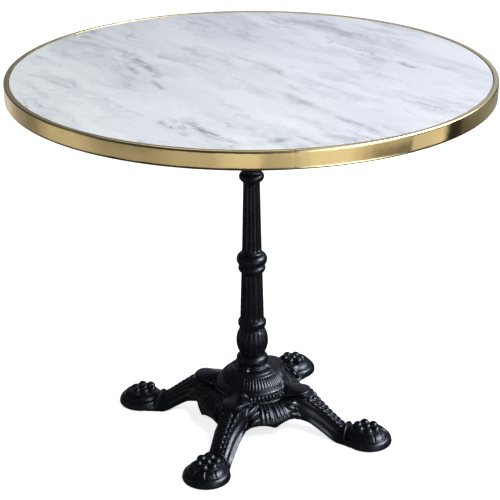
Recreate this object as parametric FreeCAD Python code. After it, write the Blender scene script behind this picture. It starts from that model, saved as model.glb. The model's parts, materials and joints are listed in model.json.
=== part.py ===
"""Round bistro table: marble top in a brass rim on a cast-iron pedestal with four legs.

Millimetres, +Z up. The origin is on the column's axis at the floor. The legs point along
+X (right), +Y (back), -X (left) and -Y (front). Writes one STEP per sub-part to parts/.
"""

import FreeCAD, Part
import math
import os

V = FreeCAD.Vector
Z_AXIS = V(0, 0, 1)

# ---------------------------------------------------------------- driving dimensions
TABLE_HEIGHT = 725.0
TOP_RADIUS = 450.0
RIM_HEIGHT = 33.0          # outside height of the brass rim
RIM_SHEET = 1.2            # brass sheet thickness
RIM_LIP = 9.0              # width of the lip on top
RIM_PROUD = 0.7            # the lip stands this much above the marble
RIM_RETURN = 8.0           # depth of the inner return
RIM_EDGE_RADIUS = 2.4      # rounded outer edges of the rim
SEAM_AZIMUTH = -60.3       # where the two ends of the rim meet, degrees from +X
SEAM_GAP = 0.6
SPLICE_WIDTH = 44.0
MARBLE_THICKNESS = 20.0
JOINT_GAP = 1.5            # gap between marble and rim, filled with sealant
FIT = 0.1                  # radial clearance of a spigot in its socket

ROD_RADIUS = 7.0           # M14 tie rod
ROD_BORE = 7.8
SPIGOT_RADIUS = 11.5
SPIGOT_LENGTH = 6.0

# heights of the joints in the column stack
MATING_PLANE = 84.0        # underside of the hub, top of the leg flanges
HUB_TOP = 155.0
BULB_TOP = 211.0
LOWER_COLUMN_TOP = 327.0
KNOP_TOP = 370.5
UPPER_COLUMN_TOP = 509.0
COLLAR_TOP = 536.0
NECK_TOP = 652.0

FLUTES = 16
FLUTE_DEPTH = 1.5
FLUTE_SHARE = 0.78         # part of each pitch that the flute takes

LEG_NAMES = ("right", "back", "left", "front")
FOOT_REACH = 241.0         # column axis to the centre of a foot
FOOT_RADIUS = 44.0
FOOT_CLEARANCE = 2.0       # the iron stands this far off the floor
SKIRT_RADIUS = 110.0
SKIRT_ARCH_TOP = 50.0      # the skirt's lower edge rises to this beside each leg
SKIRT_ARCH_RADIUS = 50.0
SKIRT_ARCH_AZIMUTH = 29.5  # degrees from the leg
FLANGE_THICKNESS = 10.0
FLANGE_INNER_RADIUS = 62.5
LEG_HALF_SECTOR = 44.85    # each leg casting spans just under a quarter turn
BOLT_REACH = 90.0
BOLT_OFFSET = 10.0

CROSS_REACH = 215.0
CROSS_SCREW_REACHES = (120.0, 198.0)
CROSS_ARM_THICKNESS = 8.0

PAD_RADIUS = 15.0
PAD_HEIGHT = 6.0
STUD_RADIUS = 4.0          # M8
STUD_CLEARANCE = 0.06
POCKET_RADIUS = 17.0


# ---------------------------------------------------------------- drawing helpers
def outline(start, *steps):
    """Closed face in the XZ plane. A step is a point for a straight run, or a pair of
    points for an arc through the first to the second."""
    edges = []
    at = V(start[0], 0, start[1])
    for step in steps + (start,):
        if isinstance(step[0], tuple):
            mid = V(step[0][0], 0, step[0][1])
            end = V(step[1][0], 0, step[1][1])
            edges.append(Part.Arc(at, mid, end).toShape())
        else:
            end = V(step[0], 0, step[1])
            if end.distanceToPoint(at) > 1e-6:
                edges.append(Part.makeLine(at, end))
        at = end
    return Part.Face(Part.Wire(edges))


def turned(start, *steps, angle=360.0, from_angle=0.0):
    """The outline revolved about the column's axis."""
    solid = outline(start, *steps).revolve(V(0, 0, 0), Z_AXIS, angle)
    solid.rotate(V(0, 0, 0), Z_AXIS, from_angle)
    return solid


def tube(inner, outer, bottom, top, x=0.0, y=0.0):
    """Round bush or disc standing at x, y. An inner radius of 0 makes it solid."""
    solid = Part.makeCylinder(outer, top - bottom, V(x, y, bottom))
    if inner > 0:
        solid = solid.cut(Part.makeCylinder(inner, top - bottom, V(x, y, bottom)))
    return solid


def hexagon(across_flats, bottom, top, x=0.0, y=0.0):
    """Hexagonal prism standing at x, y."""
    corner = across_flats / 2 / math.cos(math.pi / 6)
    points = [V(x + corner * math.cos(math.radians(60 * i)),
                y + corner * math.sin(math.radians(60 * i)), bottom) for i in range(7)]
    return Part.Face(Part.makePolygon(points)).extrude(V(0, 0, top - bottom))


def turned_about(solid, azimuth):
    """A copy of the solid turned about the column's axis."""
    copy = solid.copy()
    copy.rotate(V(0, 0, 0), Z_AXIS, azimuth)
    return copy


def repeated(solids, count=4):
    """The solids copied round the axis as one group of separate solids."""
    return [turned_about(s, 360.0 / count * i) for i in range(count) for s in solids]


def save(name, shape):
    """Writes a solid, or a list of separate solids, as one sub-part."""
    if isinstance(shape, list):
        shape = Part.makeCompound(shape)
    if not shape.isValid():
        raise ValueError(name + " is not a valid shape")
    shape.exportStep("parts/%s.step" % name)
    print("%-24s %2d solids %10.0f mm3" % (name, len(shape.Solids), shape.Volume))


# ---------------------------------------------------------------- top
RIM_BOTTOM = TABLE_HEIGHT - RIM_HEIGHT
MARBLE_TOP = TABLE_HEIGHT - RIM_PROUD
BOARD_TOP = MARBLE_TOP - MARBLE_THICKNESS
BOARD_BOTTOM = RIM_BOTTOM + RIM_SHEET
LIP_INNER = TOP_RADIUS - RIM_LIP
MARBLE_RADIUS = LIP_INNER - JOINT_GAP
RIM_INSIDE = TOP_RADIUS - RIM_SHEET - FIT


def brass_rim():
    """Folded band: inner return, lip, outer wall and bottom hem, open at the seam."""
    bend = RIM_EDGE_RADIUS * (1 - math.sqrt(0.5))
    top, low, out, t = TABLE_HEIGHT, RIM_BOTTOM, TOP_RADIUS, RIM_SHEET
    hem_inner = LIP_INNER + 1.0
    ring = turned(
        (LIP_INNER, top - RIM_RETURN), (LIP_INNER, top - 0.5),
        ((LIP_INNER + 0.15, top - 0.15), (LIP_INNER + 0.5, top)),
        (out - RIM_EDGE_RADIUS, top),
        ((out - bend, top - bend), (out, top - RIM_EDGE_RADIUS)),
        (out, low + RIM_EDGE_RADIUS),
        ((out - bend, low + bend), (out - RIM_EDGE_RADIUS, low)),
        (hem_inner, low), (hem_inner, low + t), (out - t, low + t), (out - t, top - t),
        (LIP_INNER + t, top - t), (LIP_INNER + t, top - RIM_RETURN))
    gap = Part.makeBox(RIM_LIP * 2, SEAM_GAP, RIM_HEIGHT + 2,
                       V(TOP_RADIUS - RIM_LIP * 1.5, -SEAM_GAP / 2, RIM_BOTTOM - 1))
    return ring.cut(turned_about(gap, SEAM_AZIMUTH))


def splice_sector(thickness, clearance):
    """Curved strip behind the seam, or the pocket for it."""
    half = math.degrees((SPLICE_WIDTH / 2 + clearance) / RIM_INSIDE)
    low = BOARD_BOTTOM + 2.0 - clearance
    high = TABLE_HEIGHT - RIM_SHEET - 3.0 + clearance
    return turned((RIM_INSIDE - thickness, low), (RIM_INSIDE, low), (RIM_INSIDE, high),
                  (RIM_INSIDE - thickness, high),
                  angle=2 * half, from_angle=SEAM_AZIMUTH - half)


def rim_core():
    """Packing ring that fills the fold of the rim outside the marble."""
    inner = LIP_INNER + RIM_SHEET + FIT
    ring = turned((MARBLE_RADIUS + 0.3, BOARD_TOP), (RIM_INSIDE, BOARD_TOP),
                  (RIM_INSIDE, TABLE_HEIGHT - RIM_SHEET - FIT),
                  (inner, TABLE_HEIGHT - RIM_SHEET - FIT),
                  (inner, TABLE_HEIGHT - RIM_RETURN - FIT),
                  (MARBLE_RADIUS + 0.3, TABLE_HEIGHT - RIM_RETURN - FIT))
    return ring.cut(splice_sector(1.6, 0.3))


def marble_top():
    """Disc with eased top edge and a small chamfer below."""
    ease = 1.0
    bend = ease * (1 - math.sqrt(0.5))
    r = MARBLE_RADIUS
    return turned((0, BOARD_TOP), (r - ease, BOARD_TOP), (r, BOARD_TOP + ease),
                  (r, MARBLE_TOP - ease),
                  ((r - bend, MARBLE_TOP - bend), (r - ease, MARBLE_TOP)),
                  (0, MARBLE_TOP))


def edge_sealant():
    """Bead of sealant between marble and rim, a little below the surface."""
    top = MARBLE_TOP - 1.0
    low = TABLE_HEIGHT - RIM_RETURN
    return turned((MARBLE_RADIUS, low), (LIP_INNER, low), (LIP_INNER, top), (MARBLE_RADIUS, top))


def cross_screw_places():
    """(x, y) of every screw through the cross, on the arm along +X."""
    return [(reach, 0.0) for reach in CROSS_SCREW_REACHES]


SCREW_SHANK = 2.4
SCREW_HEAD = 5.0
ARM_UNDERSIDE = BOARD_BOTTOM - CROSS_ARM_THICKNESS
SCREW_TIP = BOARD_TOP - 1.5
SCREW_WASHER = 1.0


def backing_board():
    """Plywood disc with pilot holes and the pocket for the rim's splice."""
    board = tube(0, RIM_INSIDE, BOARD_BOTTOM, BOARD_TOP)
    holes = [tube(0, SCREW_SHANK, BOARD_BOTTOM - 1, SCREW_TIP, x, y)
             for x, y in cross_screw_places()]
    for hole in repeated(holes):
        board = board.cut(hole)
    return board.cut(splice_sector(1.6, 0.3))


def cross_screws():
    """Pan-head wood screws from below, and the washer under each head."""
    screws, washers = [], []
    for x, y in cross_screw_places():
        seat = ARM_UNDERSIDE - SCREW_WASHER
        head = tube(0, SCREW_HEAD, seat - 3.0, seat, x, y)
        head = head.makeFillet(1.4, [head.Edges[2]])
        screws.append(head.fuse(tube(0, SCREW_SHANK, seat, SCREW_TIP, x, y)))
        washers.append(tube(SCREW_SHANK + 0.2, 7.0, seat, ARM_UNDERSIDE, x, y))
    return repeated(screws), repeated(washers)


CROSS_HUB_RADIUS = 33.0
CROSS_NUT_ROOM = 18.0
CROSS_NUT_SEAT = BOARD_BOTTOM - 20.0


def cross_arm():
    """One tapered arm along +X with a web below it."""
    root, tip = 21.0, 13.0
    plan = [V(0, -root, 0), V(CROSS_REACH - tip, -tip, 0), V(CROSS_REACH, 0, 0),
            V(CROSS_REACH - tip, tip, 0), V(0, root, 0)]
    edges = [Part.makeLine(plan[0], plan[1]), Part.Arc(plan[1], plan[2], plan[3]).toShape(),
             Part.makeLine(plan[3], plan[4]), Part.makeLine(plan[4], plan[0])]
    plate = Part.Face(Part.Wire(edges)).extrude(V(0, 0, CROSS_ARM_THICKNESS))
    plate.translate(V(0, 0, ARM_UNDERSIDE))
    web_end = CROSS_SCREW_REACHES[1] - 14
    web = outline((10, ARM_UNDERSIDE + 1), (10, NECK_TOP + 6), (CROSS_HUB_RADIUS, NECK_TOP + 8),
                  ((90, ARM_UNDERSIDE - 7), (web_end, ARM_UNDERSIDE)), (web_end, ARM_UNDERSIDE + 1))
    web = web.extrude(V(0, 8, 0))
    web.translate(V(0, -4, 0))
    return plate.fuse(web)


def top_cross():
    """Hub on the column's neck with four arms under the board."""
    cross = turned((ROD_BORE, NECK_TOP), (28, NECK_TOP), ((31.5, NECK_TOP + 4), (31.5, NECK_TOP + 10)),
                   (CROSS_HUB_RADIUS, ARM_UNDERSIDE), (CROSS_HUB_RADIUS, BOARD_BOTTOM),
                   (CROSS_NUT_ROOM, BOARD_BOTTOM), (CROSS_NUT_ROOM, CROSS_NUT_SEAT),
                   (ROD_BORE, CROSS_NUT_SEAT))
    inside = tube(0, CROSS_NUT_ROOM, CROSS_NUT_SEAT, BOARD_BOTTOM + 1).fuse(
        tube(0, ROD_BORE, NECK_TOP - 1, BOARD_BOTTOM)).fuse(socket(NECK_TOP))
    for arm in repeated([cross_arm()]):
        cross = cross.fuse(arm)
    cross = cross.cut(inside)
    # a screw head would foul the web, so the web is notched round each head and washer
    for x, y in cross_screw_places():
        notch = [tube(0, SCREW_SHANK + 0.3, ARM_UNDERSIDE - 30, BOARD_BOTTOM + 1, x, y),
                 tube(0, 9.0, ARM_UNDERSIDE - 30, ARM_UNDERSIDE, x, y)]
        for cut in repeated(notch):
            cross = cross.cut(cut)
    return max(cross.Solids, key=lambda s: s.Volume)


# ---------------------------------------------------------------- column stack
def socket(bottom):
    """Space for the spigot of the casting below."""
    return tube(0, SPIGOT_RADIUS + FIT, bottom - 1, bottom + SPIGOT_LENGTH + 0.5)


def spigoted(casting, bottom, top):
    """Adds the spigot on a casting's head and bores it for the tie rod."""
    casting = casting.fuse(tube(0, SPIGOT_RADIUS, top - 1, top + SPIGOT_LENGTH))
    return casting.cut(tube(0, ROD_BORE, bottom - 1, top + SPIGOT_LENGTH + 1))


def stacked(casting, bottom, top):
    """A casting of the stack, with its spigot, bore and socket."""
    return spigoted(casting, bottom, top).cut(socket(bottom))


def neck():
    """Plain turned neck that flares to the cross."""
    z = COLLAR_TOP
    shape = turned((0, z), (18.5, z), ((19.5, z + 2.5), (18.0, z + 5)), (16.6, z + 7),
                   ((16.4, z + 40), (19.0, z + 76)), ((21.8, z + 80), (19.6, z + 84)),
                   ((22.0, z + 100), (31.0, NECK_TOP - 6)), ((31.6, NECK_TOP - 3), (31.0, NECK_TOP)),
                   (0, NECK_TOP))
    return stacked(shape, COLLAR_TOP, NECK_TOP)


def collar_ring():
    """Round collar at the head of the upper column."""
    z0, z1 = UPPER_COLUMN_TOP, COLLAR_TOP
    shape = turned((0, z0), (16.5, z0), ((18.4, z0 + 3.5), (20.9, z0 + 6)),
                   ((23.9, z0 + 13), (20.9, z0 + 20)), ((19.2, z0 + 22), (18.8, z1)), (0, z1))
    return stacked(shape, z0, z1)


def fluted_wire(radius, z):
    """Round outline at height z with a hollow flute in each pitch."""
    pitch = 2 * math.pi / FLUTES
    flute = pitch * FLUTE_SHARE
    edges = []

    def point(r, angle):
        return V(r * math.cos(angle), r * math.sin(angle), z)

    for i in range(FLUTES):
        a = i * pitch
        edges.append(Part.Arc(point(radius, a - flute / 2), point(radius - FLUTE_DEPTH, a),
                              point(radius, a + flute / 2)).toShape())
        land = a + pitch / 2
        edges.append(Part.Arc(point(radius, a + flute / 2), point(radius, land),
                              point(radius, a + pitch - flute / 2)).toShape())
    return Part.Wire(edges)


def fluted_shaft(radius_low, radius_high, bottom, top):
    """Tapered shaft with straight flutes."""
    return Part.makeLoft([fluted_wire(radius_low, bottom), fluted_wire(radius_high, top)],
                         True, True)


def upper_column():
    """Fluted shaft between the knop and the collar."""
    shaft = fluted_shaft(19.2, 15.9, KNOP_TOP, UPPER_COLUMN_TOP)
    return stacked(shaft, KNOP_TOP, UPPER_COLUMN_TOP)


def knop_ring():
    """Two rings one above the other at mid height."""
    z = LOWER_COLUMN_TOP
    shape = turned((0, z), (21.0, z), ((26.5, z + 8.5), (24.0, z + 14.5)), (24.6, z + 15.5),
                   ((29.5, z + 29), (20.5, KNOP_TOP)), (0, KNOP_TOP))
    return stacked(shape, z, KNOP_TOP)


def lower_column():
    """Fluted shaft with a beaded foot ring."""
    z = BULB_TOP
    ring = turned((0, z), (24.2, z), ((27.4, z + 9.5), (23.9, z + 17)), (0, z + 17))
    shaft = fluted_shaft(23.7, 20.6, z + 16, LOWER_COLUMN_TOP)
    return stacked(ring.fuse(shaft), z, LOWER_COLUMN_TOP)


def vase_bulb():
    """Round bulb under the lower column."""
    z = HUB_TOP
    shape = turned((0, z), (23.0, z), ((31.1, z + 26), (24.2, BULB_TOP)), (0, BULB_TOP))
    return stacked(shape, z, BULB_TOP)


def tie_rod_set():
    """Threaded rod through the whole stack with its nuts and washers."""
    washer = 3.0
    nut = 11.0
    top_seat = CROSS_NUT_SEAT
    rod_low = MATING_PLANE - washer - nut - 5
    rod = tube(0, ROD_RADIUS, rod_low, top_seat + washer + nut + 3)
    rod = rod.makeChamfer(1.0, [e for e in rod.Edges if e.Closed])
    bore = ROD_RADIUS + 0.05

    def plain_nut(bottom):
        return hexagon(22, bottom, bottom + nut).cut(tube(0, bore, bottom - 1, bottom + nut + 1))

    return {
        "tie_rod": rod,
        "tie_rod_top_washer": tube(bore, 15, top_seat, top_seat + washer),
        "tie_rod_top_nut": plain_nut(top_seat + washer),
        "tie_rod_bottom_washer": tube(bore, 18, MATING_PLANE - washer, MATING_PLANE),
        "tie_rod_bottom_nut": plain_nut(MATING_PLANE - washer - nut),
    }


# ---------------------------------------------------------------- base
FLANGE_LOW, FLANGE_HIGH = 2.0, 4.4           # flange at the stud's foot, held in the pad
FLANGE_RADIUS = 6.0
HEXAGON_LOW = PAD_HEIGHT + 0.3
HEXAGON_HIGH = HEXAGON_LOW + 3.0
POCKET_TOP = HEXAGON_HIGH + 0.2              # the hexagon stops under the foot's pocket
STUD_TOP = 33.0
SHOULDER_STATIONS = (      # reach, half width, height of the ridge
    (26, 13, 138), (40, 15, 129), (56, 19, 116.5), (76, 23, 106.5),
    (96, 25, 102.5), (110, 25, 101), (117, 23.5, 96), (121, 20, 89))
HUB_BOLT_DEPTH = 11.5


def arch_wire(reach, half_width, ridge):
    """Arched section across a shoulder, flat on the mating plane."""
    left = V(reach, -half_width, MATING_PLANE)
    right = V(reach, half_width, MATING_PLANE)
    return Part.Wire([Part.Arc(left, V(reach, 0, ridge), right).toShape(),
                      Part.makeLine(right, left)])


def base_hub():
    """Domed casting with four shoulders that cover the roots of the legs."""
    dome = turned((0, MATING_PLANE), (75.5, MATING_PLANE), ((77, 87.5), (73.5, 91)),
                  (71, 92.5), ((70.5, 97), (66.5, 99.5)), ((58, 113), (44, 122.5)),
                  ((43.5, 126.5), (38.5, 127.5)), ((31, 130.5), (28.5, 135)),
                  ((31.6, 143.5), (23.4, HUB_TOP)), (0, HUB_TOP))
    shoulder = Part.makeLoft([arch_wire(*s) for s in SHOULDER_STATIONS], True, False)
    hub = dome
    for solid in repeated([shoulder]):
        hub = hub.fuse(solid)
    hollow = turned((20, MATING_PLANE - 1), (62, MATING_PLANE - 1), (62, MATING_PLANE + 2),
                    ((52, 103), (34, 112)), (20, 104))
    hub = spigoted(hub.cut(hollow), MATING_PLANE, HUB_TOP)
    holes = [tube(0, STUD_RADIUS, MATING_PLANE - 1, MATING_PLANE + HUB_BOLT_DEPTH,
                  BOLT_REACH, side * BOLT_OFFSET) for side in (-1, 1)]
    for hole in repeated(holes):
        hub = hub.cut(hole)
    return hub


BLADE_STATIONS = (         # reach, lower edge, top, half width below, half width on top
    (78, 58, 84, 25, 25), (98, 46, 84, 25, 25), (114, 40.5, 84, 25, 22.5), (124, 38.5, 83, 25, 18),
    (138, 32, 76, 25, 12), (152, 23.5, 65, 25, 9.5), (166, 14, 54, 24.5, 9),
    (180, 5, 43, 25, 9), (193, 2, 34, 27, 11), (208, 2, 34, 31, 14))


def blade_wire(reach, low, high, half_low, half_high):
    """Section across the leg: flat below, sides leaning in to an arched top."""
    side = (low + high) / 2
    crown = high - 0.35 * half_high
    points = [V(reach, -half_low, low), V(reach, half_low, low),
              V(reach, half_low, low + 0.25 * (side - low)), V(reach, half_high, crown)]
    left_top = V(reach, -half_high, crown)
    left_low = V(reach, -half_low, low + 0.25 * (side - low))
    return Part.Wire([
        Part.makeLine(points[0], points[1]), Part.makeLine(points[1], points[2]),
        Part.makeLine(points[2], points[3]),
        Part.Arc(points[3], V(reach, 0, high), left_top).toShape(),
        Part.makeLine(left_top, left_low), Part.makeLine(left_low, points[0])])


def foot_pad_solid():
    """Rounded foot with three knuckles, standing clear of the floor."""
    z0, r = FOOT_CLEARANCE, FOOT_RADIUS
    pad = turned((0, z0), (r - 8, z0), ((r - 1.5, z0 + 3.5), (r, z0 + 10)),
                 ((r - 9, 33), (22, 39)), (0, 40))
    for x, y, size, z in ((-10, 0, 15, 32), (2, 14, 12, 32), (2, -14, 12, 32), (16, 0, 13, 28)):
        pad = pad.fuse(Part.makeSphere(size, V(x, y, z)))
    pad.translate(V(FOOT_REACH, 0, 0))
    return pad


def skirt_sector():
    """A quarter of the skirt with its bolting flange, its lower edge arched twice."""
    flange_low = MATING_PLANE - FLANGE_THICKNESS
    r = SKIRT_RADIUS
    sector = turned(
        (FLANGE_INNER_RADIUS, MATING_PLANE), (77, MATING_PLANE), (80, 80.5),
        ((97, 71), (r - 2, 57)), (r, 51), (r, 41), (r - 6, 41), (r - 6, 52),
        ((92, 66), (82, flange_low)), (FLANGE_INNER_RADIUS, flange_low),
        angle=2 * LEG_HALF_SECTOR, from_angle=-LEG_HALF_SECTOR)
    for side in (-1, 1):
        arch = Part.makeCylinder(SKIRT_ARCH_RADIUS, 80, V(70, 0, SKIRT_ARCH_TOP - SKIRT_ARCH_RADIUS),
                                 V(1, 0, 0))
        sector = sector.cut(turned_about(arch, side * SKIRT_ARCH_AZIMUTH))
    return sector


def leg():
    """The leg along +X: skirt sector, arched leg and foot in one casting."""
    blade = Part.makeLoft([blade_wire(*s) for s in BLADE_STATIONS], True, False)
    casting = skirt_sector().fuse(blade).fuse(foot_pad_solid())
    casting = casting.cut(Part.makeBox(140, 120, 40, V(0, -60, MATING_PLANE)))
    hollow_top = MATING_PLANE - FLANGE_THICKNESS
    casting = casting.cut(Part.makeBox(52, 38, hollow_top + 1, V(52, -19, -1)))
    for side in (-1, 1):
        hole = tube(0, STUD_RADIUS + 0.4, hollow_top - 1, MATING_PLANE + 1,
                    BOLT_REACH, side * BOLT_OFFSET)
        casting = casting.cut(hole)
    casting = casting.cut(tube(0, POCKET_RADIUS, 0, POCKET_TOP, FOOT_REACH, 0))
    stud_hole = tube(0, STUD_RADIUS + STUD_CLEARANCE, 0, STUD_TOP + 1.5, FOOT_REACH, 0)
    return casting.cut(stud_hole).removeSplitter()


def leg_bolts():
    """Hex bolts from below into the hub's shoulders, with washers."""
    bolts, washers = [], []
    seat = MATING_PLANE - FLANGE_THICKNESS
    washer, head = 1.6, 5.3
    for side in (-1, 1):
        x, y = BOLT_REACH, side * BOLT_OFFSET
        shank = tube(0, STUD_RADIUS - 0.02, seat - washer, MATING_PLANE + 10, x, y)
        bolts.append(hexagon(13, seat - washer - head, seat - washer, x, y).fuse(shank))
        washers.append(tube(STUD_RADIUS + 0.1, 8.0, seat - washer, seat, x, y))
    return repeated(bolts), repeated(washers)


# ---------------------------------------------------------------- levelling feet
def glide_pad():
    """Nylon pad with an undercut seat for the stud's flange."""
    pad = turned((0, 0), (PAD_RADIUS - 1.2, 0), (PAD_RADIUS, 1.2), (PAD_RADIUS, 4.0),
                 (PAD_RADIUS - 3, PAD_HEIGHT), (0, PAD_HEIGHT))
    seat = tube(0, FLANGE_RADIUS + 0.3, FLANGE_LOW - 0.3, FLANGE_HIGH + 0.3)
    throat = tube(0, STUD_RADIUS + 0.3, FLANGE_HIGH, PAD_HEIGHT + 1)
    pad = pad.cut(seat).cut(throat)
    pad.translate(V(FOOT_REACH, 0, 0))
    return pad


def glide_stud():
    """M8 stud with a round flange in the pad and a hexagon to turn it by."""
    stud = tube(0, FLANGE_RADIUS, FLANGE_LOW, FLANGE_HIGH).fuse(
        tube(0, STUD_RADIUS, FLANGE_LOW, STUD_TOP)).fuse(
        hexagon(13, HEXAGON_LOW, HEXAGON_HIGH))
    stud.translate(V(FOOT_REACH, 0, 0))
    return stud


# ---------------------------------------------------------------- build
def main():
    os.makedirs("parts", exist_ok=True)
    save("marble_top", marble_top())
    save("edge_sealant", edge_sealant())
    save("brass_rim", brass_rim())
    save("rim_splice", splice_sector(1.2, 0.0))
    save("rim_core", rim_core())
    save("backing_board", backing_board())
    save("top_cross", top_cross())
    screws, washers = cross_screws()
    save("cross_screws", screws)
    save("cross_washers", washers)
    for name, shape in tie_rod_set().items():
        save(name, shape)
    save("neck", neck())
    save("collar_ring", collar_ring())
    save("upper_column", upper_column())
    save("knop_ring", knop_ring())
    save("lower_column", lower_column())
    save("vase_bulb", vase_bulb())
    save("base_hub", base_hub())
    bolts, bolt_washers = leg_bolts()
    save("leg_bolts", bolts)
    save("leg_bolt_washers", bolt_washers)
    per_leg = {"leg": leg(), "glide_pad": glide_pad(), "glide_stud": glide_stud()}
    for i, side in enumerate(LEG_NAMES):
        for name, shape in per_leg.items():
            save("%s_%s" % (name, side), turned_about(shape, 90.0 * i))


main()
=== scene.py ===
"""Bistro table: a marble top in a brass rim on a cast-iron pedestal, dressed for rendering.

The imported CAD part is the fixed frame. Shapes are worked out in millimetres and turned into
metres when a mesh is made. Each leg is modelled along +X and turned about the column's axis.
"""
import json
from math import atan, atan2, ceil, cos, degrees, hypot, pi, radians, sin, sqrt

import bpy
import numpy as np
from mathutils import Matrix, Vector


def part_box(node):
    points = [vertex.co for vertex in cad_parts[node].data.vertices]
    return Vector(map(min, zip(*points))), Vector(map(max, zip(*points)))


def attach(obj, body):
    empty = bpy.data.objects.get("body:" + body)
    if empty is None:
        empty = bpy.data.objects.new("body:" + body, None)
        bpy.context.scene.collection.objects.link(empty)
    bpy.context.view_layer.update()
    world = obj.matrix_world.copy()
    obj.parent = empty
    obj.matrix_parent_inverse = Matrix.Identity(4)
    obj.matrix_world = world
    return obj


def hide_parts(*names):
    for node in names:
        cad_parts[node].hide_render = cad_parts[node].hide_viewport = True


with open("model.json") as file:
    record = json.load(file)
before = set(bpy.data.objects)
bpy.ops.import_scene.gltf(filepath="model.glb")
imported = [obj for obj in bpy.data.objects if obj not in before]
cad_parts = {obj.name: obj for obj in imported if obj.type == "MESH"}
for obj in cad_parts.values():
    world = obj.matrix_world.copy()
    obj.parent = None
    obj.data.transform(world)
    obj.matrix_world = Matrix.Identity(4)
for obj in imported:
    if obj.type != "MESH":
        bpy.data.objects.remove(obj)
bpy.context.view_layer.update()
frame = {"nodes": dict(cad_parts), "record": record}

import openvdb
from mathutils import Matrix, Vector

MM = 0.001
TAU = 2 * pi


def box_mm(node):
    """Lowest and highest corner of a CAD node, in millimetres."""
    low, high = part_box(node)
    return np.array(low) / MM, np.array(high) / MM


# -------------------- sizes read from the frame
COLUMN = ("vase_bulb", "lower_column", "knop_ring", "upper_column", "collar_ring", "neck")
SPIGOT_LENGTH = 6.0
SPIGOT_RADIUS = 11.5
BORE_RADIUS = 7.8
RIM_LOW, RIM_HIGH = box_mm("brass_rim")
TOP_Z = RIM_HIGH[2]
RIM_BOTTOM = RIM_LOW[2]
RIM_RADIUS = RIM_HIGH[0]
MATING_Z = box_mm("base_hub")[0][2]
LEG_LOW, LEG_HIGH = box_mm("leg_right")
FOOT_X = float(box_mm("glide_pad_right")[0][0] + box_mm("glide_pad_right")[1][0]) / 2
FOOT_BASE = float(LEG_LOW[2])
LEG_TURNS = {"right": 0.0, "back": 90.0, "left": 180.0, "front": 270.0}


# -------------------- mesh helpers
def new_object(name, data):
    """New object in the scene."""
    obj = bpy.data.objects.new(name, data)
    bpy.context.scene.collection.objects.link(obj)
    return obj


def mesh_object(name, points_mm, faces, mat, sharp=40.0):
    """Object from points in millimetres, smooth except over the sharp angle in degrees."""
    mesh = bpy.data.meshes.new(name)
    points = np.asarray(points_mm, float) * MM
    mesh.from_pydata(points.tolist(), [], [list(map(int, f)) for f in faces])
    mesh.validate()
    mesh.shade_smooth()
    mesh.set_sharp_from_angle(angle=radians(sharp))
    mesh.materials.append(mat)
    return new_object(name, mesh)


def arc_points(start, mid, end, count):
    """Points of the arc from start through mid to end, without the start."""
    (ax, ay), (bx, by), (cx, cy) = start, mid, end
    d = 2 * (ax * (by - cy) + bx * (cy - ay) + cx * (ay - by))
    a2, b2, c2 = ax**2 + ay**2, bx**2 + by**2, cx**2 + cy**2
    ux = (a2 * (by - cy) + b2 * (cy - ay) + c2 * (ay - by)) / d
    uy = (a2 * (cx - bx) + b2 * (ax - cx) + c2 * (bx - ax)) / d
    radius = hypot(ax - ux, ay - uy)
    a0, am, a1 = (atan2(y - uy, x - ux) for x, y in (start, mid, end))
    turn = (a1 - a0) % TAU
    if (am - a0) % TAU > turn:
        turn -= TAU
    angles = [a0 + turn * i / count for i in range(1, count + 1)]
    return [(ux + radius * cos(a), uy + radius * sin(a)) for a in angles]


def profile(start, *steps, arc=10):
    """Points (r, z) of a turned outline. A step is a point, or (mid, end) for an arc."""
    points = [tuple(start)]
    for step in steps:
        if isinstance(step[0], tuple):
            points += arc_points(points[-1], step[0], step[1], arc)
        else:
            points.append(tuple(step))
    return points


def spread(points, step):
    """The same open outline with extra points so that no run is longer than step."""
    out = [points[0]]
    for (r0, z0), (r1, z1) in zip(points, points[1:]):
        n = max(1, ceil(hypot(r1 - r0, z1 - z0) / step))
        out += [(r0 + (r1 - r0) * i / n, z0 + (z1 - z0) * i / n) for i in range(1, n + 1)]
    return out


def grids(outline, count):
    """Radii and heights of an outline, repeated for each angle."""
    return (np.repeat(outline[:, i:i + 1], count, axis=1) for i in (0, 1))


def turned_points(r, angle, z):
    """List of points from grids of radii and heights and the angle of each column."""
    return np.stack([r * np.cos(angle), r * np.sin(angle), z], axis=-1).reshape(-1, 3)


def casting(name, outer, segments, relief=None):
    """Turned casting of the column, bored for the tie rod, with spigot above and socket below.
    relief(angle, r, z) is added to the outer radius."""
    z0, z1 = outer[0][1], outer[-1][1]
    spigot_top, socket_top = z1 + SPIGOT_LENGTH, z0 + SPIGOT_LENGTH + 0.5
    socket_radius = SPIGOT_RADIUS + 0.1
    inner = [(SPIGOT_RADIUS, z1), (SPIGOT_RADIUS, spigot_top), (BORE_RADIUS, spigot_top),
             (BORE_RADIUS, socket_top), (socket_radius, socket_top), (socket_radius, z0)]
    loop = np.array(outer + inner, float)
    angle = np.arange(segments) * TAU / segments
    r, z = grids(loop, segments)
    if relief:
        rows = len(outer)
        r[:rows] += relief(np.repeat(angle[None], rows, axis=0), r[:rows], z[:rows])
    points = turned_points(r, angle, z)
    rows, s = len(loop), segments
    faces = []
    for i in range(rows):
        this, after = i * s, (i + 1) % rows * s
        faces += [(this + j, this + (j + 1) % s, after + (j + 1) % s, after + j) for j in range(s)]
    return mesh_object(name, points, faces, IRON)


def window(x, low, high, fade):
    """1 between low and high, falling smoothly to 0 over fade outside them."""
    t = np.clip(np.minimum(x - low, high - x) / fade + 1, 0, 1)
    return t * t * (3 - 2 * t)


# -------------------- sculpting on a distance grid
def smooth_min(a, b, k):
    """Smaller of two distances with a fillet of about k."""
    if k <= 0:
        return np.minimum(a, b)
    h = np.clip(k - np.abs(a - b), 0, None) / k
    return np.minimum(a, b) - h * h * k * 0.25


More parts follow.
